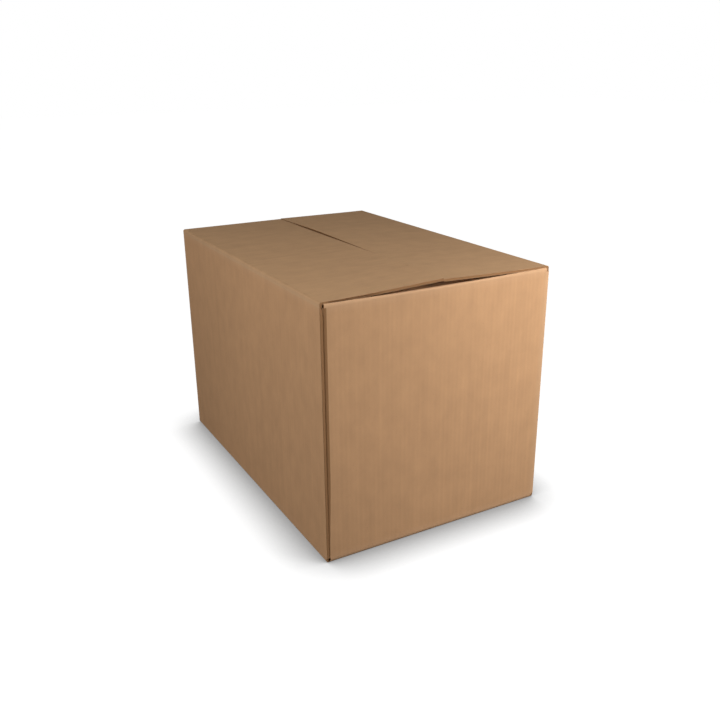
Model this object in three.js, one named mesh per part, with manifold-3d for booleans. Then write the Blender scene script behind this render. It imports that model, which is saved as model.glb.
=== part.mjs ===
// A regular slotted shipping carton, folded from one sheet of single-wall corrugated board, in
// millimetres. +Z is up and the origin is the middle of the base. The two side walls run along Y.
// The end panel that carries the glue tab faces -Y, with the glued joint at its -X corner.
// The carton is shut: its inner flaps are folded in, and the two outer flaps lie over them.

import * as THREE from 'three';
import Module from 'manifold-3d';

const wasm = await Module();
wasm.setup();

// The folded sheet
const innerLength = 600; // clear inside, along Y
const innerWidth = 400; // clear inside, along X
const innerHeight = 400; // clear between the inner flaps
const board = 4; // thickness of the board
const foldRound = 3.6; // outer radius of a crease, less than the board
const foldSteps = 5; // facets round a quarter of a crease

// The slots between the flaps, measured in from the corner's outer faces
const outerFlapSlot = 3; // beside the outer flaps
const innerFlapFit = 2; // between an inner flap and the side wall's inner face

// The seams where the outer flaps meet
const topSeamLeast = 0.4; // gap where the free edges all but touch
const topSeamMost = 3.5; // gap at its widest place
const topSeamWidestAt = 130; // how far that place lies behind the middle
const topSeamSpread = 115; // how far along from there the gap closes
const topSeamShiftFront = 1; // how far the seam lies to +X at the front end
const topSeamShiftBack = 6; // and at the back end
const bottomSeam = 1.5;

// The glue tab, inside the left side wall
const tabReach = 39; // from the end panel's outer face
const tabTaper = 20; // how much each end of the tab is cut back at its free edge
const rawEdgeBack = 0.8; // side wall's cut edge behind the end panel's face at the base, up to the slot

// The lid's spring: the inner flap at the front pushes the outer flaps' free edges up
const leftRiseFront = 6.6;
const leftRiseBack = 0.3;
const rightRiseFront = 5.2;
const rightRiseBack = 1;
const rightLift = 2; // more rise of the right flap's free edge where the seam is widest
const heldStrip = 30; // strip of an outer flap beside its crease that stays down
const riseCurve = 1.15; // how the rise grows from that strip to the free edge, 1 is straight
const archRound = 30; // half-width of the rounded crown of the arched inner flap
const supportShare = 0.9; // share of the outer flaps' rise that the inner flap reaches

// Clearances between pieces that lie on each other but move apart
const lidGap = 0.3; // under the outer flaps
const mitreGap = 0.3; // between a side wall's crease and its flap

// Facets of the sprung flaps
const stepsAlong = 12;
const stepsAcross = 7;

// Levels and faces that follow from the sizes above
const insideX = innerWidth / 2;
const insideY = innerLength / 2;
const halfWidth = insideX + board;
const halfLength = insideY + board;
const floorLevel = 2 * board;
const innerLidBottom = floorLevel + innerHeight;
const innerLidTop = innerLidBottom + board;
const lidTop = innerLidTop + lidGap + board;
const halfOuterFlap = halfLength - outerFlapSlot;
const halfInnerFlap = insideX - innerFlapFit;
const flapDepth = halfWidth - topSeamLeast / 2;

const kraft = new THREE.MeshStandardMaterial({ color: 0xb5875c, roughness: 0.92, metalness: 0 });
const kraftLid = new THREE.MeshStandardMaterial({ color: 0xa97d54, roughness: 0.92, metalness: 0 });

// Points from a to b, both ends included
function spread(a, b, steps) {
  return Array.from({ length: steps + 1 }, (_, i) => a + ((b - a) * i) / steps);
}

// Points of an arc, with angles in quarter turns
function arc(cx, cy, radius, from, to, steps) {
  return spread(from, to, steps).map((turn) => {
    const angle = (turn * Math.PI) / 2;
    return new THREE.Vector2(cx + radius * Math.cos(angle), cy + radius * Math.sin(angle));
  });
}

function point(x, y) {
  return new THREE.Vector2(x, y);
}

// A solid from a closed outline carried through stations; place(point, station) gives each corner
function sweep(outline, stations, place) {
  const ring = THREE.ShapeUtils.isClockWise(outline) ? [...outline].reverse() : outline;
  const corners = stations.flatMap((station) => ring.map((p) => place(p, station)));
  const count = ring.length;
  const faces = [];
  for (let row = 0; row < stations.length - 1; row += 1) {
    for (let i = 0; i < count; i += 1) {
      const a = row * count + i;
      const b = row * count + ((i + 1) % count);
      faces.push([a, b, b + count], [a, b + count, a + count]);
    }
  }
  const last = (stations.length - 1) * count;
  for (const [a, b, c] of THREE.ShapeUtils.triangulateShape(ring, [])) {
    faces.push([c, b, a], [a + last, b + last, c + last]);
  }
  return solidFrom(corners, faces);
}

// A closed mesh as a solid, turned inside out first if its faces point inwards
function solidFrom(corners, faces) {
  const volume = faces.reduce((sum, [a, b, c]) => {
    const cross = new THREE.Vector3().crossVectors(corners[b], corners[c]);
    return sum + corners[a].dot(cross);
  }, 0);
  const outward = volume > 0 ? faces : faces.map(([a, b, c]) => [c, b, a]);
  return new wasm.Manifold(
    new wasm.Mesh({
      numProp: 3,
      vertProperties: new Float32Array(corners.flatMap((corner) => corner.toArray())),
      triVerts: new Uint32Array(outward.flat()),
    }),
  );
}

// A named mesh from a solid
function meshFrom(solid, name, material) {
  const { vertProperties, triVerts } = solid.getMesh();
  const geometry = new THREE.BufferGeometry();
  geometry.setAttribute('position', new THREE.BufferAttribute(vertProperties, 3));
  geometry.setIndex(new THREE.BufferAttribute(triVerts, 1));
  geometry.computeVertexNormals();
  const mesh = new THREE.Mesh(geometry, material);
  mesh.name = name;
  return mesh;
}

// How far along the carton a place is: 0 at the flaps' back ends, 1 at their front ends
function towardsFront(y) {
  return (halfOuterFlap - y) / (2 * halfOuterFlap);
}

function between(back, front, y) {
  return back + (front - back) * towardsFront(y);
}

// How open the top seam is at a place, from 0 where it is shut to 1 where it is widest
function openness(y) {
  return Math.exp(-(((y - topSeamWidestAt) / topSeamSpread) ** 2));
}

// The rise of an outer flap at a distance in from the side wall's outer face
function outerFlapRise(inset, y, riseBack, riseFront, lift) {
  const share = Math.max(0, (inset - heldStrip) / (flapDepth - heldStrip));
  return (between(riseBack, riseFront, y) + lift * openness(y)) * share ** riseCurve;
}

// The rise of the front inner flap, an arch that carries the lower of the two outer flaps
function frontInnerFlapRise(x, reach) {
  const inset = halfWidth - Math.hypot(x, archRound);
  const freeEdge = -halfLength + flapDepth;
  const left = outerFlapRise(inset, freeEdge, leftRiseBack, leftRiseFront, 0);
  const right = outerFlapRise(inset, freeEdge, rightRiseBack, rightRiseFront, rightLift);
  return supportShare * Math.min(left, right) * Math.max(0, (reach - board) / (flapDepth - board));
}

// The four walls between the creases, as one band with three rounded corners. It starts and ends
// at the glued joint, where the side wall's cut edge leans back towards the slot above it.
function wallBand() {
  const outline = [
    point(-insideX + foldRound, -halfLength),
    ...arc(halfWidth - foldRound, -halfLength + foldRound, foldRound, -1, 0, foldSteps),
    ...arc(halfWidth - foldRound, halfLength - foldRound, foldRound, 0, 1, foldSteps),
    ...arc(-halfWidth + foldRound, halfLength - foldRound, foldRound, 1, 2, foldSteps),
    point(-halfWidth, -halfLength),
    point(-insideX, -halfLength),
    point(-insideX, insideY),
    point(insideX, insideY),
    point(insideX, -insideY),
    point(-insideX + foldRound, -insideY),
  ];
  const isCutEdge = (p) => p.x <= -insideX && p.y === -halfLength;
  return sweep(outline, [floorLevel, innerLidBottom], (p, z) => {
    const back = z === floorLevel ? rawEdgeBack : outerFlapSlot;
    return new THREE.Vector3(p.x, isCutEdge(p) ? p.y + back : p.y, z);
  });
}

// The glue tab, which the end panel's rounded crease turns inside the side wall
function glueTab() {
  const outline = [
    ...arc(-insideX + foldRound, -halfLength + foldRound, foldRound, -2, -1, foldSteps),
    point(-insideX + board, -halfLength),
    point(-insideX + board, 0),
    point(-insideX, 0),
  ];
  const levels = [floorLevel, floorLevel + tabTaper, innerLidBottom - tabTaper, innerLidBottom];
  return sweep(outline, levels, (p, z) => {
    const isEnd = z === floorLevel || z === innerLidBottom;
    const freeEdge = isEnd ? -insideY : -halfLength + tabReach;
    return new THREE.Vector3(p.x, p.y === 0 ? freeEdge : p.y, z);
  });
}

// A side wall's crease and glued flap under the base; side is -1 or 1
function sideFloor(side) {
  const outline = [
    point(0, floorLevel),
    ...arc(foldRound, foldRound, foldRound, 2, 3, foldSteps),
    point(halfWidth - bottomSeam / 2, 0),
    point(halfWidth - bottomSeam / 2, board),
    point(board, board),
    point(board, floorLevel),
  ];
  const ends = [-halfOuterFlap, halfOuterFlap];
  return sweep(outline, ends, (p, y) => new THREE.Vector3(side * (halfWidth - p.x), y, p.y));
}

// The top of a side wall up to its crease, mitred through the line that its flap turns on
function sideCrease(side) {
  const outline = [
    point(0, innerLidBottom),
    ...arc(foldRound, lidTop - foldRound, foldRound, 2, 1.5, foldSteps),
    point(board, lidTop - board),
    point(board, innerLidBottom),
  ];
  const ends = [-halfOuterFlap, halfOuterFlap];
  return sweep(outline, ends, (p, y) => new THREE.Vector3(side * (halfWidth - p.x), y, p.y));
}

// An end panel's crease and glued flap, on the side flaps under the base
function endFloor(side) {
  const outline = [
    point(0, floorLevel),
    ...arc(foldRound, board + foldRound, foldRound, 2, 3, foldSteps),
    point(flapDepth, board),
    point(flapDepth, floorLevel),
  ];
  const ends = [-halfInnerFlap, halfInnerFlap];
  return sweep(outline, ends, (p, x) => new THREE.Vector3(x, side * (halfLength - p.x), p.y));
}

// An end panel's crease and inner flap, one board lower than the outer flaps; rise(x, reach)
function endLid(side, rise) {
  const outline = [
    point(0, innerLidBottom),
    ...arc(foldRound, innerLidTop - foldRound, foldRound, 2, 1, foldSteps),
    ...spread(board, flapDepth, stepsAcross).map((reach) => point(reach, innerLidTop)),
    ...spread(flapDepth, board, stepsAcross).map((reach) => point(reach, innerLidBottom)),
  ];
  const stations = spread(-halfInnerFlap, halfInnerFlap, stepsAlong);
  return sweep(outline, stations, (p, x) => {
    return new THREE.Vector3(x, side * (halfLength - p.x), p.y + rise(x, p.x));
  });
}

// A cut-free folded sheet: walls, tab, glued floor and the two inner flaps
function cartonBody() {
  const flat = () => 0;
  const parts = [
    glueTab(),
    sideFloor(-1),
    sideFloor(1),
    endFloor(-1),
    endFloor(1),
    sideCrease(-1),
    sideCrease(1),
    endLid(-1, frontInnerFlapRise),
    endLid(1, flat),
  ];
  return parts.reduce((sheet, part) => sheet.add(part), wallBand());
}

// An outer flap from its mitred crease to the seam, twisted by the rise of its free edge
function outerFlap(side, riseBack, riseFront, lift) {
  const mitreTurn = 1.5 - Math.asin(mitreGap / foldRound) / (Math.PI / 2);
  const insets = [foldRound, ...spread(heldStrip, flapDepth, stepsAcross)];
  const outline = [
    ...arc(foldRound, lidTop - foldRound, foldRound, mitreTurn, 1, foldSteps).slice(0, -1),
    ...insets.map((inset) => point(inset, lidTop)),
    ...insets.slice(1).reverse().map((inset) => point(inset, lidTop - board)),
    point(board + mitreGap * Math.SQRT2, lidTop - board),
  ];
  const stations = spread(-halfOuterFlap, halfOuterFlap, stepsAlong);
  return sweep(outline, stations, (p, y) => {
    const shift = between(topSeamShiftBack, topSeamShiftFront, y);
    const gap = topSeamLeast + (topSeamMost - topSeamLeast) * openness(y);
    const stretch = (halfWidth - side * shift - gap / 2 - heldStrip) / (flapDepth - heldStrip);
    const inset = p.x > heldStrip ? heldStrip + (p.x - heldStrip) * stretch : p.x;
    const z = p.y + outerFlapRise(p.x, y, riseBack, riseFront, lift);
    return new THREE.Vector3(side * (halfWidth - inset), y, z);
  });
}

const carton = new THREE.Group();
carton.add(meshFrom(cartonBody(), 'carton_body', kraft));
const leftFlap = outerFlap(-1, leftRiseBack, leftRiseFront, 0);
const rightFlap = outerFlap(1, rightRiseBack, rightRiseFront, rightLift);
carton.add(meshFrom(leftFlap, 'top_outer_flap_left', kraftLid));
carton.add(meshFrom(rightFlap, 'top_outer_flap_right', kraftLid));

export default carton;
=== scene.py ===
"""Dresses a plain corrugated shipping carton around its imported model.

Every length is in metres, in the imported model's frame: +Z up, the origin at the middle of the base,
and the end panel with the glued joint facing -Y. The board is built as ladders of rungs, each rung
a pair of points on the two faces of the sheet, carried through stations.
"""

import logging
import math
from collections.abc import Callable, Sequence
from dataclasses import dataclass, field
from enum import Enum
from functools import cached_property

import bmesh
import bpy
from mathutils import Matrix, Vector


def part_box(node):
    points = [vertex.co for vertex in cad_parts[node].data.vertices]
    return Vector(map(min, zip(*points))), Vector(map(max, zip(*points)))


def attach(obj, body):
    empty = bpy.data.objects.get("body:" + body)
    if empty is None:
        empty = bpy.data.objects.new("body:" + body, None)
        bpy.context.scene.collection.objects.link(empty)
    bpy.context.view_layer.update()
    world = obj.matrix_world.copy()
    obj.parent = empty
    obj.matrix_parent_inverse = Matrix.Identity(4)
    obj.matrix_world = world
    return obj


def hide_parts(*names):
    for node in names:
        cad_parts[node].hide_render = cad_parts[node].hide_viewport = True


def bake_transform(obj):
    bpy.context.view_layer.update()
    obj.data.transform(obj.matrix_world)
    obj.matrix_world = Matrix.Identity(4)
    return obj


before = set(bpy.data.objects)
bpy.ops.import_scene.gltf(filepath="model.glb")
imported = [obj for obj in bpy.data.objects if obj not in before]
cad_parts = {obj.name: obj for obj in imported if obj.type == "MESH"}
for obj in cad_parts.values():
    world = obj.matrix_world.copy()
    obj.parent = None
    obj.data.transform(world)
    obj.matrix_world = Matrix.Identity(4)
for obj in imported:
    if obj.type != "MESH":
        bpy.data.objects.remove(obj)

logging.basicConfig(level=logging.INFO, format="%(name)s: %(message)s")
log = logging.getLogger("carton")

MM = 0.001
WELD = 0.002 * MM
SHARP_ANGLE = math.radians(35)
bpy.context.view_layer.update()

Pair = tuple[float, float]
Triple = tuple[float, float, float]
Place = Callable[[Pair, float], Vector]
Socket = bpy.types.NodeSocket


class Side(Enum):
    """A side wall and its outer flap, by the sign of its X."""

    LEFT = -1
    RIGHT = 1

    @property
    def node(self) -> str:
        """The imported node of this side's outer flap."""
        return f"top_outer_flap_{self.name.lower()}"

    @property
    def body(self) -> str:
        """The moving body of this side's outer flap."""
        return f"outer_flap_{self.name.lower()}"


@dataclass(frozen=True)
class Board:
    """Single-wall corrugated board.

    Attributes:
        thickness: Over both liners.
        liner: Thickness that a liner shows at a cut edge.
        fold: Outer radius of a crease.
        pitch: Length of one flute wave.
        medium: Thickness of the fluted sheet.
        flute_depth: How far in the flutes are modelled at an edge cut across them.
        fold_steps: Rungs round a quarter of a crease.
    """

    thickness: float = 4.0 * MM
    liner: float = 0.45 * MM
    fold: float = 3.6 * MM
    pitch: float = 7.9 * MM
    medium: float = 0.3 * MM
    flute_depth: float = 9.0 * MM
    fold_steps: int = 8


@dataclass(frozen=True)
class CartonSizes:
    """Sizes of the carton, taken from the frame's boxes where they show there.

    Attributes:
        board: The board that it is folded from.
        slot: Slot beside the outer flaps.
        inner_fit: Gap between an inner flap and the side wall.
        lid_gap: Gap under the outer flaps.
        bottom_seam: Gap between the outer flaps under the base.
        tab_reach: Glue tab's reach from the end panel's face.
        tab_taper: How far each end of the tab is cut back.
        tab_fold: Outer radii, along X and Y, of the pressed fold that turns the tab in.
        raw_edge_back: Set-back of the side wall's cut edge at the base.
        seam_least: Gap between the outer flaps where they all but touch.
        seam_most: The same where it is widest.
        seam_widest_y: Where that is.
        seam_spread: How far from there it closes towards the back and the front.
        seam_shift: How far the seam lies to +X at its back and front ends.
        nick: Place and extra width of a nick in the seam.
        nick_spread: Half-length of that nick.
        held_strip: Strip beside an outer flap's crease that stays down.
        rise_curve: How the rise grows from there to the free edge.
        left_rise: Rise of the left flap's free edge at its back and front ends.
        right_rise: The same for the right flap.
        right_lift: More rise of the right flap where the seam is widest.
        arch_round: Half-width of the rounded crown of the arched inner flap.
        support_share: Share of the outer flaps' rise that the inner flap reaches.
        bow: How far the wall panels bow in at their middles.
        roll: Bulge of an inner flap's crease, up in front of the outer flaps' ends, at the middle
            and at the corners.
        roll_curve: How that bulge grows towards the corners.
        roll_kept: Share of the slot over which the bulge keeps its height.
        roll_below: The same bulge under the base, down in front of the side flaps' ends.
        sag: How far the front inner flap sags behind its crease.
        sag_in: Depth behind the crease over which the sag sets in.
        sag_out: Depth at which it starts to end, and over which it ends.
    """

    board: Board = field(default_factory=Board)
    slot: float = 3.0 * MM
    inner_fit: float = 2.0 * MM
    lid_gap: float = 0.3 * MM
    bottom_seam: float = 1.5 * MM
    tab_reach: float = 39.0 * MM
    tab_taper: float = 20.0 * MM
    tab_fold: Pair = (6.2 * MM, 1.7 * MM)
    raw_edge_back: float = 0.8 * MM
    seam_least: float = 0.4 * MM
    seam_most: float = 3.5 * MM
    seam_widest_y: float = 130.0 * MM
    seam_spread: Pair = (115.0 * MM, 175.0 * MM)
    seam_shift: Pair = (6.0 * MM, 1.0 * MM)
    nick: Pair = (-200.0 * MM, 2.4 * MM)
    nick_spread: float = 11.0 * MM
    held_strip: float = 30.0 * MM
    rise_curve: float = 1.15
    left_rise: Pair = (0.3 * MM, 6.6 * MM)
    right_rise: Pair = (1.0 * MM, 5.2 * MM)
    right_lift: float = 2.0 * MM
    arch_round: float = 30.0 * MM
    support_share: float = 0.9
    bow: float = 0.9 * MM
    roll: Pair = (0.0 * MM, 2.3 * MM)
    roll_curve: float = 1.5
    roll_kept: float = 0.7
    roll_below: float = 3.3 * MM
    sag: float = 5.0 * MM
    sag_in: float = 7.0 * MM
    sag_out: float = 60.0 * MM

    @cached_property
    def half_width(self) -> float:
        """Half of the outside width."""
        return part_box("carton_body")[1].x

    @cached_property
    def half_length(self) -> float:
        """Half of the outside length."""
        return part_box("carton_body")[1].y

    @cached_property
    def inside_x(self) -> float:
        """Inner face of a side wall."""
        return self.half_width - self.board.thickness

    @cached_property
    def inside_y(self) -> float:
        """Inner face of an end panel."""
        return self.half_length - self.board.thickness

    @cached_property
    def floor(self) -> float:
        """Top of the inner bottom flaps, where the wall panels start."""
        return 2 * self.board.thickness

    @cached_property
    def lid_top(self) -> float:
        """Top of the outer flaps at their creases."""
        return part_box("top_outer_flap_left")[0].z + self.board.thickness

    @cached_property
    def inner_lid_top(self) -> float:
        """Top of the inner flaps at their creases."""
        return self.lid_top - self.board.thickness - self.lid_gap

    @cached_property
    def ceiling(self) -> float:
        """Underside of the inner flaps, where the wall panels end."""
        return self.inner_lid_top - self.board.thickness

    @cached_property
    def hinge_strip(self) -> float:
        """Strip of board on each side of a hinged crease, which bends with it."""
        return self.lid_top - self.ceiling

    @cached_property
    def half_outer_flap(self) -> float:
        """Half of the outer flaps' length along Y."""
        return self.half_length - self.slot

    @cached_property
    def half_inner_flap(self) -> float:
        """Half of the inner flaps' width along X."""
        return self.inside_x - self.inner_fit

    @cached_property
    def flap_depth(self) -> float:
        """Depth of a flap from the outer face of its wall."""
        return self.half_width - self.seam_least / 2

    def between(self, ends: Pair, y: float) -> float:
        """A value at y, from its values at the flaps' back and front ends."""
        share = (self.half_outer_flap - y) / (2 * self.half_outer_flap)
        return ends[0] + (ends[1] - ends[0]) * share

    def openness(self, y: float) -> float:
        """How open the seam is at y, from 0 to 1."""
        away = y - self.seam_widest_y
        reach = self.seam_spread[0] if away > 0 else self.seam_spread[1]
        return math.exp(-((away / reach) ** 2))

    def seam_gap(self, y: float) -> float:
        """Gap between the outer flaps at y."""
        place, extra = self.nick
        nick = extra * math.exp(-(((y - place) / self.nick_spread) ** 2))
        return self.seam_least + (self.seam_most - self.seam_least) * self.openness(y) + nick

    def flap_rise(self, side: Side, inset: float, y: float) -> float:
        """Rise of an outer flap at a place."""
        share = max(0.0, (inset - self.held_strip) / (self.flap_depth - self.held_strip))
        ends = self.left_rise if side is Side.LEFT else self.right_rise
        lift = 0.0 if side is Side.LEFT else self.right_lift * self.openness(y)
        return (self.between(ends, y) + lift) * share**self.rise_curve

    def rolled(self, u: float, w: float) -> float:
        """Share of an end panel's bulging crease, in front of the side panels' flaps."""
        if u >= self.slot or w >= self.board.fold:
            return 0.0
        past = u - self.roll_kept * self.slot
        fall = 1 - smooth(past / ((1 - self.roll_kept) * self.slot))
        return (1 - w / self.board.fold) * fall

    def top_roll(self, x: float) -> float:
        """Height of an inner flap's bulging crease at x."""
        share = (abs(x) / self.half_inner_flap) ** self.roll_curve
        return self.roll[0] + (self.roll[1] - self.roll[0]) * share

    def sagging(self, x: float, u: float) -> float:
        """Sag of the front inner flap behind its crease."""
        begun = smooth((u - self.board.thickness) / self.sag_in)
        ended = smooth((u - self.sag_out) / self.sag_out)
        return self.sag * begun * (1 - ended) * max(0.0, 1 - (x / self.half_inner_flap) ** 2)

    def inner_rise(self, x: float, reach: float) -> float:
        """Rise of the front inner flap, an arch under the lower of the two outer flaps."""
        inset = self.half_width - math.hypot(x, self.arch_round)
        edge = -self.half_length + self.flap_depth
        lower = min(self.flap_rise(side, inset, edge) for side in Side)
        share = (reach - self.board.thickness) / (self.flap_depth - self.board.thickness)
        return self.support_share * lower * max(0.0, share)


def spread(low: float, high: float, steps: int) -> list[float]:
    """Evenly spaced values with both ends."""
    return [low + (high - low) * i / steps for i in range(steps + 1)]


def smooth(share: float) -> float:
    """A share from 0 to 1 with soft ends."""
    share = min(1.0, max(0.0, share))
    return share * share * (3 - 2 * share)


@dataclass(frozen=True)
class Rung:
    """One rung of a ladder: a point on each face of the board, in the plane of the section.

    Attributes:
        outer: Point on the outside face.
        inner: Point on the inside face.
        run: Distance along the sheet from the ladder's start.
    """

    outer: Pair
    inner: Pair
    run: float

    def at(self, share: float) -> Pair:
        """A point of the rung, from 0 on its outer face to 1 on its inner face."""
        (ox, oy), (ix, iy) = self.outer, self.inner
        return ox + (ix - ox) * share, oy + (iy - oy) * share


def flap_rungs(board: Board, first: float, last: float, step: float) -> list[Rung]:
    """Rungs of a flat flap between two insets, with w counted in from its outer face.

    Args:
        board: The board.
        first: Inset of the first rung.
        last: Inset of the last rung.
        step: Longest distance between rungs.

    Returns:
        The rungs.
    """
    count = max(1, math.ceil((last - first) / step))
    insets = spread(first, last, count)
    return [Rung((u, 0.0), (u, board.thickness), u - first) for u in insets]


def fold_rungs(board: Board, wall: float, reach: float, step: float) -> list[Rung]:
    """Rungs of a wall that turns through a crease into a flap.

    The wall's outer face is u = 0, the flap's outer face is w = 0, and the crease is at the corner.

    Args:
        board: The board.
        wall: Height of wall before the crease.
        reach: Depth of the flap from the wall's outer face.
        step: Longest distance between rungs on the flap.

    Returns:
        The rungs from the wall's edge to the flap's free edge.
    """
    t, r = board.thickness, board.fold
    rungs = [Rung((0.0, wall), (t, wall), 0.0)]
    start = wall - r
    for angle in spread(math.pi, 1.5 * math.pi, board.fold_steps):
        outer = (r + r * math.cos(angle), r + r * math.sin(angle))
        rungs.append(Rung(outer, (t, t), start + r * (angle - math.pi)))
    end = rungs[-1].run
    flat = flap_rungs(board, t, reach, step)[1:]
    return rungs + [Rung(rung.outer, rung.inner, end + rung.outer[0] - r) for rung in flat]


def hinge_rungs(board: Board, reach: float, steps: int) -> list[Rung]:
    """Rungs of a crease that has to bend, close together on both faces.

    Args:
        board: The board.
        reach: Distance from the corner to each end of the strip.
        steps: Rungs from one end to the middle of the crease.

    Returns:
        The rungs from the wall's side to the flap's side.
    """
    t, r = board.thickness, board.fold
    quarter = r * math.pi / 4
    half = reach - r + quarter
    rungs = []
    for q in spread(-1.0, 1.0, 2 * steps):
        away = abs(q) * half
        if away > quarter:
            outer = (0.0, r + away - quarter)
        else:
            angle = math.pi / 4 - away / r
            outer = (r - r * math.cos(angle), r - r * math.sin(angle))
        inner = (t, t + abs(q) * (reach - t))
        if q > 0:
            outer, inner = (outer[1], outer[0]), (inner[1], inner[0])
        rungs.append(Rung(outer, inner, (q + 1) * half))
    return rungs


@dataclass
class SheetMap:
    """Where a ladder lies on the flat sheet, so that streaks run on across its creases.

    Attributes:
        across: Offset across the flutes.
        across_sign: Direction across the flutes.
        along: Offset along the flutes.
        along_sign: Direction along the flutes.
    """

    across: float = 0.0
    across_sign: float = 1.0
    along: float = 0.0
    along_sign: float = 1.0


@dataclass
class Shell:
    """Vertices and faces of one closed ladder, with the sheet's own coordinates."""

    points: list[Vector] = field(default_factory=list)
    sheet: list[Triple] = field(default_factory=list)
    worn: list[float] = field(default_factory=list)
    faces: list[tuple[tuple[int, ...], bool]] = field(default_factory=list)

    def add(self, point: Vector, sheet: Triple, worn: float) -> int:
        """Adds a vertex and returns its index."""
        self.points.append(point)
        self.sheet.append(sheet)
        self.worn.append(worn)
        return len(self.points) - 1

    def face(self, corners: Sequence[int], cut_or_painted_shade: bool = False) -> None:
        """Adds a face, less its repeated corners; the flag gives it the cut finish, for a cut edge of the
        board or as painted shade.
        """
        unique = tuple(dict.fromkeys(corners))
        if len(unique) > 2:
            self.faces.append((unique, cut_or_painted_shade))


@dataclass
class Ladder:
    """A sheet of board: rungs in a section plane, carried through stations.

    Attributes:
        rungs: The rungs, from one edge of the sheet to the other.
        stations: Values that place() reads, from one end to the other.
        place: Gives the point in the frame for a section point and a station.
        board: The board.
        across: True where the stations run across the flutes, as on flaps.
        sheet_map: Where it lies on the flat sheet.
        end_groove: Depth of the groove between the liners at the two ends, by run and end.
        edge_groove: Depth of the groove at the last rung, or 0.
        creases: Distances along the sheet at which it is creased.
        station_creases: Stations beside which it is creased.
        painted_shade: From which run to which the outer face takes the cut edge's dark core colour as
            painted shade.
    """

    rungs: list[Rung]
    stations: list[float]
    place: Place
    board: Board
    across: bool = True
    sheet_map: SheetMap = field(default_factory=SheetMap)
    end_groove: Callable[[float, bool], float] | None = None
    edge_groove: float = 0.0
    creases: tuple[float, ...] = ()
    station_creases: tuple[float, ...] = ()
    painted_shade: Pair = (0.0, 0.0)

    WORN_REACH = 8.0 * MM

    def worn_at(self, run: float, station: float) -> float:
        """How worn the sheet is beside its creases, from 0 to 1."""
        near = [abs(run - crease) for crease in self.creases]
        near += [abs(station - crease) for crease in self.station_creases]
        return smooth(1 - min(near) / self.WORN_REACH) if near else 0.0

    def in_painted_shade(self, rung: Rung) -> bool:
        """True where the outer face is painted in the cut edge's dark core colour as shade."""
        return self.painted_shade[0] < rung.run < self.painted_shade[1]

    def vertex(self, shell: Shell, rung: Rung, share: float, station: float) -> int:
        """Adds the vertex at a share of a rung's thickness."""
        lie = self.sheet_map
        across, along = (station, rung.run) if self.across else (rung.run, station)
        # On the painted-shade span the outer face counts as the middle of the board, so the cut finish
        # paints it in its dark core colour as shade.
        depth = 0.5 if self.in_painted_shade(rung) and share == 0.0 else share
        sheet = (lie.across + lie.across_sign * across, lie.along + lie.along_sign * along, depth)
        return shell.add(self.place(rung.at(share), station), sheet, self.worn_at(rung.run, station))

    def build(self) -> Shell:
        """Builds the closed shell with its cut edges and grooves."""
        shell = Shell()
        rows = [
            [[self.vertex(shell, rung, share, s) for share in (0.0, 1.0)] for rung in self.rungs]
            for s in self.stations
        ]
        for low, high in zip(rows, rows[1:]):
            for i in range(len(self.rungs) - 1):
                # Faces along the painted-shade span take the cut finish, as painted shade.
                painted_shade = self.in_painted_shade(self.rungs[i]) and self.in_painted_shade(self.rungs[i + 1])
                shell.face((low[i][0], low[i + 1][0], high[i + 1][0], high[i][0]), cut_or_painted_shade=painted_shade)
                shell.face((low[i][1], high[i][1], high[i + 1][1], low[i + 1][1]))
        for first in (True, False):
            self.close_end(shell, rows[0 if first else -1], first)
            self.close_edge(shell, rows, last=not first)
        return shell

    def liner_lines(self, shell: Shell, rung: Rung, station: float) -> tuple[int, ...]:
        """Adds the two vertices where the liners end inside the board."""
        share = self.board.liner / self.board.thickness
        return tuple(self.vertex(shell, rung, part, station) for part in (share, 1 - share))

    def close_end(self, shell: Shell, row: list[list[int]], first: bool) -> None:
        """Closes the first or last station, with a groove between the liners if it has one."""
        station = self.stations[0] if first else self.stations[-1]
        inward = 1.0 if first else -1.0
        depths = [self.end_groove(r.run, first) if self.end_groove else 0.0 for r in self.rungs]
        depths[0] = depths[-1] = 0.0
        rims = [self.liner_lines(shell, rung, station) for rung in self.rungs]
        floors = [
            self.liner_lines(shell, rung, station + inward * depth) if depth > 0 else rim
            for rung, depth, rim in zip(self.rungs, depths, rims)
        ]
        self.close(shell, row, rims, floors)

    def close_edge(self, shell: Shell, rows: list[list[list[int]]], last: bool) -> None:
        """Closes the first or last rung; the last one may have a groove along it."""
        rung = self.rungs[-1] if last else self.rungs[0]
        rims = [self.liner_lines(shell, rung, s) for s in self.stations]
        floors = rims
        if last and self.edge_groove > 0:
            back = self.rung_before_edge(self.edge_groove)
            inside = self.stations[1:-1]
            floors = [rims[0], *(self.liner_lines(shell, back, s) for s in inside), rims[-1]]
        self.close(shell, [row[-1 if last else 0] for row in rows], rims, floors)

    @staticmethod
    def close(
        shell: Shell,
        columns: Sequence[Sequence[int]],
        rims: Sequence[tuple[int, ...]],
        floors: Sequence[tuple[int, ...]],
    ) -> None:
        """Adds the faces of a cut edge: two liner edges, and a groove or a flat core between them.

        Args:
            shell: Added to.
            columns: Vertices on the outer and inner face, step by step.
            rims: Where the liners end inside, step by step.
            floors: The groove's bottom, which is the rim where there is none.
        """
        for i in range(len(columns) - 1):
            (a, d), (b, c) = columns[i], columns[i + 1]
            (p, s), (q, r) = rims[i], rims[i + 1]
            (fp, fs), (fq, fr) = floors[i], floors[i + 1]
            quads = (a, p, q, b), (s, d, c, r), (fp, fs, fr, fq), (p, fp, fq, q), (fs, s, r, fr)
            for corners in quads:
                shell.face(corners, cut_or_painted_shade=True)

    def rung_before_edge(self, distance: float) -> Rung:
        """A rung at a distance in from the last one."""
        last, before = self.rungs[-1], self.rungs[-2]
        share = distance / (last.run - before.run)
        outer, inner = (
            (here[0] + (there[0] - here[0]) * share, here[1] + (there[1] - here[1]) * share)
            for here, there in ((last.outer, before.outer), (last.inner, before.inner))
        )
        return Rung(outer, inner, last.run - distance)


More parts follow.
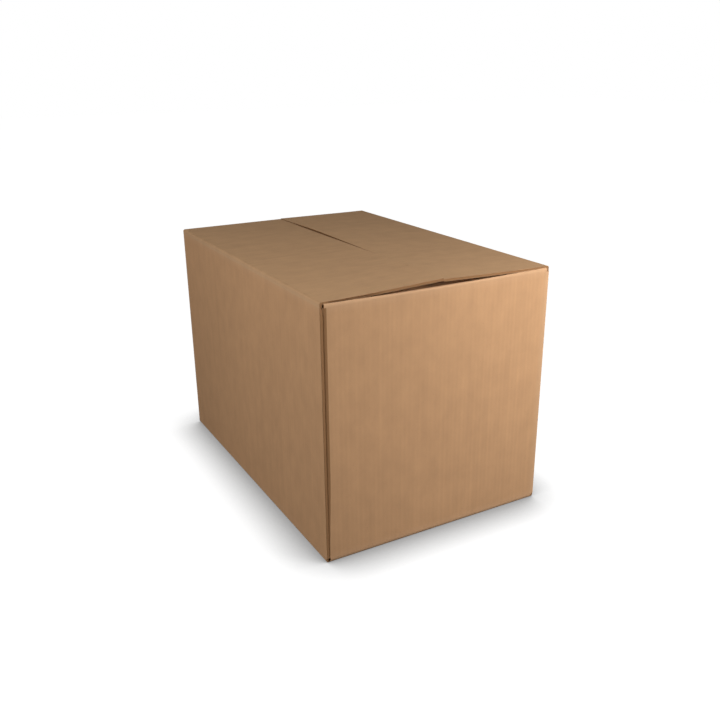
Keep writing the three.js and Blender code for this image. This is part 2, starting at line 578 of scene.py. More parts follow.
@dataclass
class NodeTree:
    """A node tree with short calls for the nodes that are used often."""

    tree: bpy.types.NodeTree

    def node(self, kind: str, **values: object) -> bpy.types.Node:
        """Adds a node and sets its properties."""
        node = self.tree.nodes.new(kind)
        for key, value in values.items():
            setattr(node, key, value)
        return node

    def link(self, source: object, target: Socket) -> None:
        """Links a socket to an input, or sets the input to a plain value."""
        if isinstance(source, Socket):
            self.tree.links.new(source, target)
        elif target.type == "RGBA":
            target.default_value = (*source, 1.0)
        else:
            target.default_value = source

    def made(
        self, kind: str, inputs: dict[int | str, object], output: int | str = 0, **values: object
    ) -> Socket:
        """Adds a node, fills its inputs and gives one of its outputs.

        Args:
            kind: The node's type.
            inputs: What goes into which input, by number or name.
            output: The output that is wanted.
            **values: Properties of the node.

        Returns:
            That output.
        """
        node = self.node(kind, **values)
        for key, source in inputs.items():
            self.link(source, node.inputs[key])
        return node.outputs[output]

    def math(self, operation: str, *values: object) -> Socket:
        """A math node."""
        return self.made("ShaderNodeMath", dict(enumerate(values)), operation=operation)

    def vector(self, x: object = 0.0, y: object = 0.0, z: object = 0.0) -> Socket:
        """A vector from three values."""
        return self.made("ShaderNodeCombineXYZ", {"X": x, "Y": y, "Z": z})

    def part(self, vector: object, axis: str) -> Socket:
        """One of the three parts of a vector."""
        return self.made("ShaderNodeSeparateXYZ", {0: vector}, axis)

    def seen_straight(self) -> Socket:
        """1 for rays from the camera, also off a gloss or through glass, and 0 for others."""
        path = self.node("ShaderNodeLightPath").outputs
        direct = self.math("MAXIMUM", path["Is Camera Ray"], path["Is Glossy Ray"])
        return self.math("MAXIMUM", direct, path["Is Transmission Ray"])


@dataclass(frozen=True)
class Layer:
    """One noise of a finish.

    Attributes:
        scale: Noise cells in a metre across the flutes, along them and through the board.
        detail: Octaves.
        roughness: How strong the finer octaves are.
        show: How much it varies the colour.
    """

    scale: Triple
    detail: float
    roughness: float
    show: float = 0.0


@dataclass
class MaterialTree(NodeTree):
    """A material's node tree."""

    result: bpy.types.Material

    # Specular level of board.
    MATT = 0.2

    @staticmethod
    def start(name: str) -> "MaterialTree":
        """Starts a material with an empty tree."""
        material = bpy.data.materials.new(name)
        material.use_nodes = True
        material.node_tree.nodes.clear()
        return MaterialTree(material.node_tree, material)

    def attribute(self, name: str, output: str = "Vector") -> Socket:
        """Reads a named attribute of the mesh."""
        return self.node("ShaderNodeAttribute", attribute_name=name).outputs[output]

    def noise(self, vector: object, layer: Layer) -> Socket:
        """A layer's noise at a place, from 0 to 1."""
        place = self.made("ShaderNodeVectorMath", {0: vector, 1: layer.scale}, operation="MULTIPLY")
        grain = {"Detail": layer.detail, "Roughness": layer.roughness}
        return self.made("ShaderNodeTexNoise", {"Vector": place, "Scale": 1.0} | grain)

    def range(self, value: object, source: Pair, target: Pair) -> Socket:
        """A value mapped from one range to another, clamped."""
        return self.made("ShaderNodeMapRange", dict(enumerate((value, *source, *target))))

    def total(self, *parts: tuple[object, float]) -> Socket:
        """The sum of values, each times its factor."""
        result: object = 0.0
        for value, factor in parts:
            result = self.math("MULTIPLY_ADD", value, factor, result)
        return result

    def mix(self, factor: object, first: object, second: object) -> Socket:
        """Two colours mixed by a factor."""
        node = self.node("ShaderNodeMix", data_type="RGBA")
        colors = [socket for socket in node.inputs if socket.type == "RGBA"]
        self.link(factor, node.inputs[0])
        self.link(first, colors[0])
        self.link(second, colors[1])
        return next(socket for socket in node.outputs if socket.type == "RGBA")

    def tinted(self, color: object, value: object) -> Socket:
        """A colour times a value."""
        return self.made("ShaderNodeVectorMath", {0: color, "Scale": value}, operation="SCALE")

    def surface(self, base: object, roughness: float, height: object) -> bpy.types.Material:
        """Ends the tree in a matt surface with a bump.

        Args:
            base: Colour.
            roughness: Roughness.
            height: Bump height in metres.

        Returns:
            The material.
        """
        bump = self.made("ShaderNodeBump", {"Strength": 1.0, "Distance": 1.0, "Height": height})
        look = {"Base Color": base, "Roughness": roughness, "Specular IOR Level": self.MATT}
        return self.ended(self.made("ShaderNodeBsdfPrincipled", {"Normal": bump} | look))

    def ended(self, shader: Socket) -> bpy.types.Material:
        """Ends the tree in a shader."""
        self.link(shader, self.node("ShaderNodeOutputMaterial").inputs[0])
        return self.result


@dataclass(frozen=True)
class KraftFinish:
    """Unbleached kraft liner, matt, with fibres, mottling and specks, and the flutes shown by a bump and
    by painted shade in the colour.

    Attributes:
        name: Material name.
        color: Linear colour of the sheet.
        worn: Linear colour of its worn creases.
        speck: Linear colour of its dark specks.
        roughness: Of the sheet.
        pitch: Length of one flute wave.
        flute_painted_shade: Depth of the painted shade and highlight of the washboard, as light and dark
            stripes in the colour.
        flute_gain: Factor on that, least and most, by the streaks.
        flute_bump: Height of the washboard.
        grain_bump: Height of the grain.
        fibre_bump: Height of the fibres.
        fibres: Fine fibres.
        mottle: Mottling.
        clouds: Wide pale and dark areas.
        streaks: Streaks along the flutes.
        grain: Fine grain.
        dots: Where its highest values are, there are specks.
        speck_at: Values of the dots at which a speck starts and is full.
        speck_depth: Share of the speck's colour.
        rub: Least and most wear on a worn crease.
        middle: Range of a noise that counts as its middle.
    """

    name: str
    color: Triple = (0.53, 0.302, 0.156)
    worn: Triple = (0.64, 0.41, 0.25)
    speck: Triple = (0.24, 0.125, 0.06)
    roughness: float = 0.9
    pitch: float = 7.9 * MM
    flute_painted_shade: float = 0.013
    flute_gain: Pair = (0.2, 1.2)
    flute_bump: float = 0.018 * MM
    grain_bump: float = 0.02 * MM
    fibre_bump: float = 0.012 * MM
    fibres: Layer = Layer((300.0, 2400.0, 0.0), 2.0, 0.6, 0.10)
    mottle: Layer = Layer((42.0, 26.0, 0.0), 4.0, 0.55, 0.24)
    clouds: Layer = Layer((7.0, 4.0, 0.0), 3.0, 0.5, 0.12)
    streaks: Layer = Layer((95.0, 3.0, 0.0), 2.0, 0.5, 0.12)
    grain: Layer = Layer((900.0, 900.0, 0.0), 2.0, 0.7, 0.06)
    dots: Layer = Layer((480.0, 640.0, 0.0), 1.0, 0.4)
    speck_at: Pair = (0.74, 0.8)
    speck_depth: float = 0.5
    rub: Pair = (0.1, 0.5)
    middle: Pair = (0.35, 0.65)

    def build(self) -> bpy.types.Material:
        """Builds the material, which reads the attributes "sheet" and "worn"."""
        tree = MaterialTree.start(self.name)
        sheet = tree.attribute("sheet")
        layers = (self.fibres, self.mottle, self.clouds, self.streaks, self.grain)
        noises = [tree.noise(sheet, layer) for layer in layers]
        fibres, _, _, streaks, grain = noises
        # Painted shade and highlight: the flutes' wave darkens and lightens the colour in stripes, as the
        # washboard would be shaded; the same wave drives the bump.
        turns = tree.math("MULTIPLY", tree.part(sheet, "X"), 2 * math.pi / self.pitch)
        wave = tree.math("SINE", turns)
        show = tree.math("MULTIPLY", wave, tree.range(streaks, self.middle, self.flute_gain))
        shown = [(noise, layer.show) for noise, layer in zip(noises, layers)]
        rest = 1.0 - sum(layer.show for layer in layers) / 2
        base = tree.tinted(self.color, tree.total(*shown, (show, self.flute_painted_shade), (1.0, rest)))
        rubbed = tree.range(grain, self.middle, self.rub)
        worn = tree.math("MULTIPLY", tree.attribute("worn", "Fac"), rubbed)
        base = tree.mix(worn, base, self.worn)
        specks = tree.range(tree.noise(sheet, self.dots), self.speck_at, (0.0, self.speck_depth))
        base = tree.mix(specks, base, self.speck)
        height = tree.total(
            (wave, self.flute_bump), (grain, self.grain_bump), (fibres, self.fibre_bump)
        )
        return tree.surface(base, self.roughness, height)


@dataclass(frozen=True)
class CutFinish:
    """Cut edge of the board: two pale liner edges with the darker fibrous core between them; both colours
    are darker than the sheet partly for the cut itself and partly as painted shade of the open flutes.

    Attributes:
        name: Material name.
        liner: Linear colour of the liners' edges, darker than the sheet partly as painted shade.
        core: Linear colour between them, darker partly as painted shade.
        roughness: Of the cut.
        liner_share: Share of the board's thickness that a liner takes.
        blur: Half-width of the change from liner to core, as such a share.
        fuzz: Torn fibres.
        fuzz_bump: Their height.
    """

    name: str = "cut_board_and_painted_shade"
    # Partly painted shade: both colours are set darker than the sheet's, partly for the cut board and
    # partly for the shade in its open flutes.
    liner: Triple = (0.38, 0.21, 0.105)
    core: Triple = (0.29, 0.15, 0.066)
    roughness: float = 0.95
    liner_share: float = 0.12
    blur: float = 0.03
    fuzz: Layer = Layer((1500.0, 1500.0, 12.0), 3.0, 0.6, 0.5)
    fuzz_bump: float = 0.1 * MM

    def build(self) -> bpy.types.Material:
        """Builds the material, which reads the attribute "sheet"."""
        tree = MaterialTree.start(self.name)
        sheet = tree.attribute("sheet")
        middle = tree.math("ABSOLUTE", tree.math("SUBTRACT", tree.part(sheet, "Z"), 0.5))
        edge = 0.5 - self.liner_share
        core = tree.range(middle, (edge - self.blur, edge + self.blur), (1.0, 0.0))
        fuzz = tree.noise(sheet, self.fuzz)
        base = tree.mix(core, self.liner, self.core)
        tone = tree.total((fuzz, self.fuzz.show), (1.0, 1.0 - self.fuzz.show / 2))
        bump = tree.math("MULTIPLY", fuzz, self.fuzz_bump)
        return tree.surface(tree.tinted(base, tone), self.roughness, bump)


@dataclass
class Finishes:
    """The materials of the carton."""

    body: bpy.types.Material = field(default_factory=lambda: KraftFinish("kraft_board").build())
    # Painted shade: the lid's copy of the board colour is a little less red and darker, to match how
    # light falls on the top.
    lid_painted_shade: bpy.types.Material = field(
        default_factory=lambda: KraftFinish("kraft_board_lid", color=(0.505, 0.302, 0.157)).build()
    )
    cut: bpy.types.Material = field(default_factory=lambda: CutFinish().build())


def added(name: str, data: bpy.types.ID) -> bpy.types.Object:
    """Adds an object with its data to the scene."""
    obj = bpy.data.objects.new(name, data)
    bpy.context.scene.collection.objects.link(obj)
    return obj


def mesh_object(
    name: str, merged: bmesh.types.BMesh, finishes: Sequence[bpy.types.Material]
) -> bpy.types.Object:
    """Adds an object made from an editable mesh, which it frees.

    Args:
        name: Object name.
        merged: The editable mesh.
        finishes: Its materials.

    Returns:
        The object, linked to the scene.
    """
    mesh = bpy.data.meshes.new(name)
    merged.to_mesh(mesh)
    merged.free()
    for finish in finishes:
        mesh.materials.append(finish)
    return added(name, mesh)


def board_object(
    name: str, shells: Sequence[Shell], liner: bpy.types.Material, cut: bpy.types.Material
) -> bpy.types.Object:
    """Joins shells into one object with attributes, sharp cut edges and outward normals.

    Args:
        name: Object name.
        shells: Closed shells.
        liner: Material of the faces of the sheet.
        cut: Material of its cut edges, and of the painted shade on the joint's fold.

    Returns:
        The object, linked to the scene.
    """
    merged = bmesh.new()
    sheet_layer = merged.verts.layers.float_vector.new("sheet")
    worn_layer = merged.verts.layers.float.new("worn")
    for shell in shells:
        verts = []
        for point, sheet, worn in zip(shell.points, shell.sheet, shell.worn):
            vert = merged.verts.new(point)
            vert[sheet_layer] = sheet
            vert[worn_layer] = worn
            verts.append(vert)
        for corners, cut_or_painted_shade in shell.faces:
            made = merged.faces.new([verts[i] for i in corners])
            # The cut finish goes on cut edges and, as painted shade, on the joint's fold.
            made.material_index = 1 if cut_or_painted_shade else 0
            made.smooth = True
        bmesh.ops.remove_doubles(merged, verts=verts, dist=WELD)
    loose = [vert for vert in merged.verts if not vert.link_faces]
    bmesh.ops.delete(merged, geom=loose, context="VERTS")
    bmesh.ops.recalc_face_normals(merged, faces=merged.faces)
    for edge in merged.edges:
        kinds = {face.material_index for face in edge.link_faces}
        edge.smooth = len(kinds) == 1 and edge.calc_face_angle(0.0) < SHARP_ANGLE
    open_edges = sum(1 for edge in merged.edges if not edge.is_manifold)
    obj = mesh_object(name, merged, (liner, cut))
    log.info("%s: %d faces, %d open edges", name, len(obj.data.polygons), open_edges)
    return obj


@dataclass
class CartonBody:
    """The folded sheet without its outer top flaps: walls, tab, floor and inner flaps."""

    sizes: CartonSizes
    finishes: Finishes

    # Steps along the tab, an end panel, a side wall, the height of both and a flap's length,
    # and the longest step across a flap.
    TAB_STEPS = 6
    END_STEPS = 40
    SIDE_STEPS = 60
    HEIGHT_STEPS = 40
    FLAP_STEPS = 36
    FLAP_RUNG = 12 * MM
    # The tab's gap from the side wall, and the slacks within which a point counts as on a face.
    TAB_CLEAR = 0.05 * MM
    TOUCH = 0.01 * MM
    TAB_TOUCH = 0.1 * MM
    # Share of the joint's fold that is left at the base, and of the height over which it opens.
    FOLD_LEFT = 0.3
    FOLD_OPENS = 0.35
    # Height, turns in a metre and start of each wave in the side wall's cut edge.
    RAW_WAVES = ((0.18 * MM, 61.0, 0.0), (0.1 * MM, 173.0, 1.0))
    # Depths of the grooves between the liners, and where those at a flap's ends start.
    WALL_GROOVE = 0.6 * MM
    END_GROOVE = 1.5 * MM
    FLOOR_GROOVE = 2.0 * MM
    GROOVE_FROM = 10 * MM
    # How far past the walls' edges the middles of their worn creases lie, and every how many
    # rungs of a corner there is one.
    CREASE_PAST = 4 * MM
    CREASE_EVERY = 4

    def corner(
        self, centre: Pair, radii: Pair, start: float, inner: Pair
    ) -> list[tuple[Pair, Pair]]:
        """Pairs of outer and inner points round a vertical crease.

        Args:
            centre: Centre of the outer arc.
            radii: Its radii along X and Y.
            start: Angle in degrees at which it starts; it turns a quarter.
            inner: The inner corner.

        Returns:
            The pairs.
        """
        angles = spread(start, start + 90, self.sizes.board.fold_steps)
        (cx, cy), (rx, ry) = centre, radii
        turns = [math.radians(angle) for angle in angles]
        return [((cx + rx * math.cos(turn), cy + ry * math.sin(turn)), inner) for turn in turns]

    def wall_rungs(self) -> list[Rung]:
        """Rungs round the four walls, from the tab's free edge to the left wall's cut edge."""
        z = self.sizes
        x, y, t, r, soft = z.half_width, z.half_length, z.board.thickness, z.board.fold, z.tab_fold
        in_x, in_y, left = z.inside_x, z.inside_y, -z.inside_x + self.TAB_CLEAR
        tab = spread(-y + z.tab_reach, -y + soft[1], self.TAB_STEPS)[:-1]
        front = spread(left + soft[0], x - r, self.END_STEPS)[1:-1]
        right = spread(-y + r, y - r, self.SIDE_STEPS)[1:-1]
        back = spread(x - r, -x + r, self.END_STEPS)[1:-1]
        path = [
            *(((left, py), (left + t, max(py, -in_y))) for py in tab),
            *self.corner((left + soft[0], -y + soft[1]), soft, 180, (left + t, -in_y)),
            *(((px, -y), (min(px, in_x), -in_y)) for px in front),
            *self.corner((x - r, -y + r), (r, r), 270, (in_x, -in_y)),
            *(((x, py), (in_x, py)) for py in right),
            *self.corner((x - r, y - r), (r, r), 0, (in_x, in_y)),
            *(((px, y), (px, in_y)) for px in back),
            *self.corner((-x + r, y - r), (r, r), 90, (-in_x, in_y)),
            *(((-x, py), (-in_x, py)) for py in spread(y - r, -y, self.SIDE_STEPS)[1:]),
        ]
        rungs, run = [], 0.0
        for i, (outer, inner) in enumerate(path):
            run += math.dist(outer, path[i - 1][0]) if i else 0.0
            rungs.append(Rung(outer, inner, run))
        return rungs

    def wall_place(self, pair: Pair, height: float) -> Vector:
        """The place of a wall point: bowed panels, tapered tab and leaning cut edge."""
        z = self.sizes
        x, y = pair
        middle, half = (z.floor + z.ceiling) / 2, (z.ceiling - z.floor) / 2
        tall = max(0.0, 1 - ((height - middle) / half) ** 2)
        share = (height - z.floor) / (z.ceiling - z.floor)
        thin = self.TOUCH
        is_tab = -z.inside_x + thin < x < -z.inside_x + z.board.thickness + self.TAB_TOUCH
        if is_tab and -z.inside_y < y < -z.half_length + z.tab_reach + thin:
            past = (y + z.inside_y) / (z.tab_reach - z.board.thickness)
            height = middle + (height - middle) * (half - z.tab_taper * past) / half
        if abs(y) > z.inside_y - thin:
            y -= math.copysign(z.bow * tall * max(0.0, 1 - (x / z.half_width) ** 2), y)
        if is_tab or abs(x) > z.inside_x - thin:
            x -= math.copysign(z.bow * tall * max(0.0, 1 - (y / z.half_length) ** 2), x)
        left = -z.inside_x + self.TAB_CLEAR
        if left < pair[0] < left + z.tab_fold[0] and y < -z.inside_y + z.tab_fold[1]:
            opened = self.FOLD_LEFT + (1 - self.FOLD_LEFT) * smooth(share / self.FOLD_OPENS)
            x = left + (pair[0] - left) * opened
        if pair[0] < -z.inside_x + thin and pair[1] < -z.half_length + thin:
            wave = sum(size * math.sin(height * rate + start) for size, rate, start in self.RAW_WAVES)
            y += z.raw_edge_back + (z.slot - z.raw_edge_back) * share + wave * tall
        return Vector((x, y, height))

    def walls(self) -> tuple[Shell, dict[str, Pair]]:
        """Builds the four walls.

        Returns:
            The shell, and for each wall the sign and offset from its own coordinate to the run.
        """
        z = self.sizes
        rungs = self.wall_rungs()
        runs: dict[str, Pair] = {}
        folds = []
        for i, rung in enumerate(rungs):
            x, y = rung.outer
            if abs(x) < z.half_width / 2 and abs(y) > z.inside_y:
                sign = math.copysign(1, y)
                runs["front" if y < 0 else "back"] = (-sign, rung.run + x * sign)
            if abs(y) < z.half_length / 2 and abs(x) > z.inside_x:
                sign = math.copysign(1, x)
                runs["right" if x > 0 else "left"] = (sign, rung.run - y * sign)
            if 0 < i < len(rungs) - 1 and abs(x) > z.inside_x - MM and abs(y) > z.inside_y - MM:
                folds.append(rung.run)
        ladder = Ladder(
            rungs,
            spread(z.floor, z.ceiling, self.HEIGHT_STEPS),
            self.wall_place,
            z.board,
            across=False,
            edge_groove=self.WALL_GROOVE,
            # Painted shade: the tab's pressed fold at the joint takes the cut edge's dark colour,
            # standing in for the shaded channel beside the side wall's cut edge.
            painted_shade=(folds[0] - z.board.thickness, folds[0] + z.tab_fold[0]),
            creases=tuple(fold for fold in folds[:: self.CREASE_EVERY] if fold > 2 * z.tab_reach),
            station_creases=(z.floor - self.CREASE_PAST, z.ceiling + self.CREASE_PAST),
        )
        return ladder.build(), runs

    def folded(self, name: str, height: float, on_top: bool, runs: dict[str, Pair]) -> Ladder:
        """A crease and flap that stays in place, under the base or under the outer flaps.

        Args:
            name: Which wall it hangs on.
            height: Level of its outer face.
            on_top: True for a flap on top, False for one under the base.
            runs: Sign and offset of each wall on the flat sheet.

        Returns:
            The ladder.
        """
        z = self.sizes
        is_side = name in ("left", "right")
        sign = 1.0 if name in ("right", "back") else -1.0
        wall = z.inner_lid_top - z.ceiling if on_top else z.floor - height
        reach = z.half_width - z.bottom_seam / 2 if is_side else z.flap_depth
        ends = z.half_outer_flap if is_side else z.half_inner_flap
        rises = on_top and name == "front"
        rungs = fold_rungs(z.board, wall, reach, self.FLAP_RUNG)

        def place(pair: Pair, station: float) -> Vector:
            """The place of a flap point."""
            u, w = pair
            level = height - w if on_top else height + w
            level += z.inner_rise(station, u) - z.sagging(station, u) if rises else 0.0
            if not is_side:
                level += z.rolled(u, w) * (z.top_roll(station) if on_top else -z.roll_below)
            if is_side:
                return Vector((sign * (z.half_width - u), station, level))
            return Vector((station, sign * (z.half_length - u), level))

        across_sign, across = runs[name]
        rim = z.ceiling if on_top else z.floor
        return Ladder(
            rungs,
            spread(-ends, ends, self.FLAP_STEPS),
            place,
            z.board,
            sheet_map=SheetMap(across, across_sign, rim, 1.0 if on_top else -1.0),
            end_groove=lambda run, first: self.END_GROOVE if run > self.GROOVE_FROM else 0.0,
            edge_groove=z.board.flute_depth if on_top else self.FLOOR_GROOVE,
            creases=(wall - z.board.fold * (1 - math.pi / 4),),
        )

    def build(self, fluting: "Fluting") -> dict[str, Pair]:
        """Builds and dresses the body.

        Args:
            fluting: Makes the waves in the free edges of the inner flaps.

        Returns:
            Sign and offset of each wall on the flat sheet.
        """
        z = self.sizes
        shell, runs = self.walls()
        lids = [self.folded(name, z.inner_lid_top, True, runs) for name in ("front", "back")]
        floors = [self.folded(name, z.board.thickness, False, runs) for name in ("front", "back")]
        floors += [self.folded(name, 0.0, False, runs) for name in ("left", "right")]
        shells = [shell, *(ladder.build() for ladder in lids + floors)]
        board = board_object("carton_board", shells, self.finishes.body, self.finishes.cut)
        waves = fluting.build("carton_fluting", lids)
        for obj in (board, waves):
            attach(obj, "carton_body")
        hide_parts("carton_body")
        return runs


@dataclass
class Fluting:
    """The waves of the fluted sheet at edges that are cut across it, made with Geometry Nodes.

    Attributes:
        board: The board.
        finish: Material of the fluted sheet.
        recess: How far the waves stay behind the cut.
        seed: Seed of the small crushed places.
        crush: How much they vary the wave's height.
        samples: Points on one wave.
        dents: Crushed places in a metre.
    """

    board: Board
    finish: bpy.types.Material
    recess: float = 0.3 * MM
    seed: int = 7
    crush: float = 0.35
    samples: int = 12
    dents: float = 45.0

    def inputs(self, length: float) -> dict[str, tuple[str, object]]:
        """The tree's inputs for a strip of a length: name, socket kind and value."""
        height = self.board.thickness / 2 - self.board.liner - self.board.medium / 2
        return {
            "Length": ("NodeSocketFloat", length),
            "Pitch": ("NodeSocketFloat", self.board.pitch),
            "Height": ("NodeSocketFloat", height),
            "Depth": ("NodeSocketFloat", self.board.flute_depth - self.recess),
            "Thickness": ("NodeSocketFloat", self.board.medium),
            "Crush": ("NodeSocketFloat", self.crush),
            "Seed": ("NodeSocketInt", self.seed),
            "Finish": ("NodeSocketMaterial", self.finish),
        }

    def tree(self, inputs: dict[str, tuple[str, object]]) -> bpy.types.GeometryNodeTree:
        """Builds the tree: a line of waves, given the flutes' depth and the sheet's thickness."""
        group = bpy.data.node_groups.new("fluted_edge", "GeometryNodeTree")
        group.interface.new_socket("Geometry", in_out="OUTPUT", socket_type="NodeSocketGeometry")
        for name, (kind, _) in inputs.items():
            group.interface.new_socket(name, in_out="INPUT", socket_type=kind)
        tree = NodeTree(group)
        given = tree.node("NodeGroupInput").outputs
        pitch = given["Pitch"]
        line = tree.made("GeometryNodeCurvePrimitiveLine", {"End": tree.vector(given["Length"])})
        waves = tree.math("DIVIDE", given["Length"], pitch)
        count = tree.math("MULTIPLY", waves, float(self.samples))
        points = tree.made("GeometryNodeResampleCurve", {"Curve": line, "Count": count})
        position = tree.node("GeometryNodeInputPosition").outputs[0]
        turns = tree.math("DIVIDE", tree.part(position, "X"), pitch)
        wave = tree.math("SINE", tree.math("MULTIPLY", turns, 2 * math.pi))
        place = {"Vector": position, "W": given["Seed"], "Scale": self.dents}
        noise = tree.made("ShaderNodeTexNoise", place, noise_dimensions="4D")
        dent = tree.math("MULTIPLY", noise, given["Crush"])
        height = tree.math("MULTIPLY", given["Height"], tree.math("SUBTRACT", 1.0, dent))
        offset = tree.vector(z=tree.math("MULTIPLY", wave, height))
        shape = tree.made("GeometryNodeSetPosition", {"Geometry": points, "Offset": offset})
        upright = tree.made("GeometryNodeSetCurveNormal", {"Curve": shape}, mode="Z_UP")
        size = {"Width": given["Depth"], "Height": given["Thickness"]}
        section = tree.made("GeometryNodeCurvePrimitiveQuadrilateral", size)
        sweep = {"Curve": upright, "Profile Curve": section, "Fill Caps": True}
        real = tree.made("GeometryNodeRealizeInstances", {0: tree.made("GeometryNodeCurveToMesh", sweep)})
        finish = {"Geometry": real, "Material": given["Finish"]}
        dressed = tree.made("GeometryNodeSetMaterial", finish)
        tree.link(dressed, tree.node("NodeGroupOutput").inputs[0])
        return group

    def strip(self, length: float) -> bpy.types.Mesh:
        """A straight strip of waves of a length, as a plain mesh from x = 0."""
        inputs = self.inputs(length)
        group = self.tree(inputs)
        obj = added("strip", bpy.data.meshes.new("strip"))
        modifier = obj.modifiers.new("waves", "NODES")
        modifier.node_group = group
        for item in group.interface.items_tree:
            if item.in_out == "INPUT":
                modifier[item.identifier] = inputs[item.name][1]
        graph = bpy.context.evaluated_depsgraph_get()
        mesh = bpy.data.meshes.new_from_object(obj.evaluated_get(graph), depsgraph=graph)
        obj.modifiers.clear()
        bpy.data.objects.remove(obj)
        return mesh

    def build(self, name: str, ladders: Sequence[Ladder]) -> bpy.types.Object:
        """Builds the waves in the grooves along the last rungs of some ladders.

        Args:
            name: Object name.
            ladders: Ladders of one body, each with a groove along its last rung.

        Returns:
            The object, linked to the scene.
        """
        merged = bmesh.new()
        sheet_layer = merged.verts.layers.float_vector.new("sheet")
        for ladder in ladders:
            first, last = ladder.stations[1], ladder.stations[-2]
            strip = self.strip(last - first)
            known = len(merged.verts)
            merged.from_mesh(strip)
            merged.verts.ensure_lookup_table()
            middle = self.recess + (self.board.flute_depth - self.recess) / 2
            for vert in merged.verts[known:]:
                along, across, high = vert.co
                rung = ladder.rung_before_edge(middle + across)
                share = 0.5 + high / self.board.thickness
                vert.co = ladder.place(rung.at(share), first + along)
                vert[sheet_layer] = (first + along, across, 0.5)
        bmesh.ops.recalc_face_normals(merged, faces=merged.faces)
        obj = mesh_object(name, merged, (self.finish,))
        obj.data.shade_smooth()
        log.info("%s: %d faces", name, len(obj.data.polygons))
        return obj


@dataclass
class OuterFlap:
    """An outer top flap and the crease that it turns on."""

    sizes: CartonSizes
    finishes: Finishes
    side: Side

    # Steps along the flap, from an end of the bend to its middle, and the longest one across.
    LENGTH_STEPS = 120
    BEND_STEPS = 12
    FLAP_RUNG = 9.8 * MM
    # Depths of the open flute at the flap's ends, and where and over what it changes.
    CHANNEL_DEEP = 5.0 * MM
    CHANNEL_SHALLOW = 0.8 * MM
    CHANNEL_END = 70.0 * MM
    CHANNEL_FADE = 20 * MM
    # How far below the bend's middle the worn crease lies, and the bend's reach round its corner.
    CREASE_BELOW = 6 * MM
    BLEND_REACH = 1.5 * MM

    def place(self, pair: Pair, y: float) -> Vector:
        """The place of a flap point, twisted by the rise of the free edge."""
        z = self.sizes
        u, w = pair
        sign = self.side.value
        depth = z.half_width - sign * z.between(z.seam_shift, y) - z.seam_gap(y) / 2
        stretch = (depth - z.held_strip) / (z.flap_depth - z.held_strip)
        inset = z.held_strip + (u - z.held_strip) * stretch if u > z.held_strip else u
        level = z.lid_top - w + z.flap_rise(self.side, u, y)
        return Vector((sign * (z.half_width - inset), y, level))

    def channel(self, run: float, first: bool) -> float:
        """Depth of the open flute at the flap's ends."""
        if self.side is Side.LEFT and first:
            fade = smooth((run - self.CHANNEL_END) / self.CHANNEL_FADE)
            return self.CHANNEL_DEEP + (self.CHANNEL_SHALLOW - self.CHANNEL_DEEP) * fade
        return self.CHANNEL_SHALLOW

    def build(self, runs: dict[str, Pair], fluting: Fluting) -> None:
        """Builds and dresses the flap and its crease.

        Args:
            runs: Sign and offset of each wall on the flat sheet.
            fluting: Makes the waves in the free edge.
        """
        z = self.sizes
        name = self.side.name.lower()
        across_sign, across = runs[name]
        stations = spread(-z.half_outer_flap, z.half_outer_flap, self.LENGTH_STEPS)
        bend = hinge_rungs(z.board, z.hinge_strip, self.BEND_STEPS)
        crease = Ladder(
            bend,
            stations,
            self.place,
            z.board,
            sheet_map=SheetMap(across, across_sign, z.ceiling),
            creases=(bend[-1].run / 2 - self.CREASE_BELOW,),
        )
        flap = Ladder(
            flap_rungs(z.board, z.hinge_strip, z.flap_depth, self.FLAP_RUNG),
            stations,
            self.place,
            z.board,
            sheet_map=SheetMap(across, across_sign, z.ceiling + bend[-1].run),
            end_groove=self.channel,
            edge_groove=z.board.flute_depth,
        )
        strip = board_object(f"crease_{name}", [crease.build()], self.finishes.lid_painted_shade, self.finishes.cut)
        sheet = board_object(f"flap_{name}", [flap.build()], self.finishes.lid_painted_shade, self.finishes.cut)
        waves = fluting.build(f"flap_{name}_fluting", [flap])
        for obj in (sheet, waves):
            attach(obj, self.side.body)
        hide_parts(self.side.node)
        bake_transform(strip)


@dataclass(frozen=True)
class Lamp:
    """A square soft light.

    Attributes:
        name: Its name.
        place: Where it is.
        target: What it faces.
        size: Its side.
        level: Light on a surface that faces it at its target; 1 renders a colour as written.
    """

    name: str
    place: Triple
    target: Triple
    size: float
    level: float

    def build(self) -> None:
        """Adds the light."""
        place, target = Vector(self.place), Vector(self.target)
        light = bpy.data.lights.new(self.name, "AREA")
        light.shape = "SQUARE"
        light.size = self.size
        light.energy = self.level * math.pi**2 * (place - target).length_squared
        obj = added(self.name, light)
        obj.location = place
        obj.rotation_euler = (target - place).to_track_quat("-Z", "Y").to_euler()
        log.info("%s: %.1f W", self.name, light.energy)


